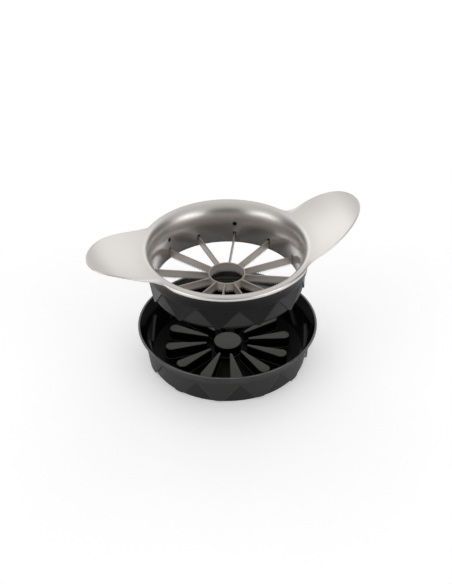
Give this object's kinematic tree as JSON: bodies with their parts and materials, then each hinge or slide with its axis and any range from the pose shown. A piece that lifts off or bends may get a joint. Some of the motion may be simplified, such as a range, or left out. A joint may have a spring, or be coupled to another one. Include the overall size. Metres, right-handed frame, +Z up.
{
  "type": "tomato slicer",
  "caption": "Press-down tomato slicer: a steel frame with a star of serrated blades and two leaf handles, over a toothed black tray with pads that push the fruit through.",
  "frame": {"origin": "middle of the tray's foot, on the surface that it stands on", "axes": "+Z up along the slicer's axis, +X along the handles"},
  "size_m": [0.203, 0.13, 0.1079],
  "materials": {
    "frame_steel": "satin",
    "blade_steel": "satin",
    "guard_plastic": "fine matte grain",
    "tray_plastic": "fine matte grain outside, polished inside",
    "pad_plastic": "matte"
  },
  "bodies": {
    "tray": {"tray": "tray_plastic", "rest_pads": "pad_plastic"},
    "slicer": {"steel_frame": "frame_steel", "core_ring": "blade_steel", "guard_ring": "guard_plastic", "guard_pins": "guard_plastic", "blade_01": "blade_steel", "blade_02": "blade_steel", "blade_03": "blade_steel", "blade_04": "blade_steel", "blade_05": "blade_steel", "blade_06": "blade_steel", "blade_07": "blade_steel", "blade_08": "blade_steel", "blade_09": "blade_steel", "blade_10": "blade_steel", "blade_11": "blade_steel", "blade_12": "blade_steel"}
  },
  "joints": [
    {"name": "slicer_press", "type": "slide", "parent": "tray", "child": "slicer", "axis": [0, 0, 1], "range_m": [-0.059, 0.06]}
  ]
}
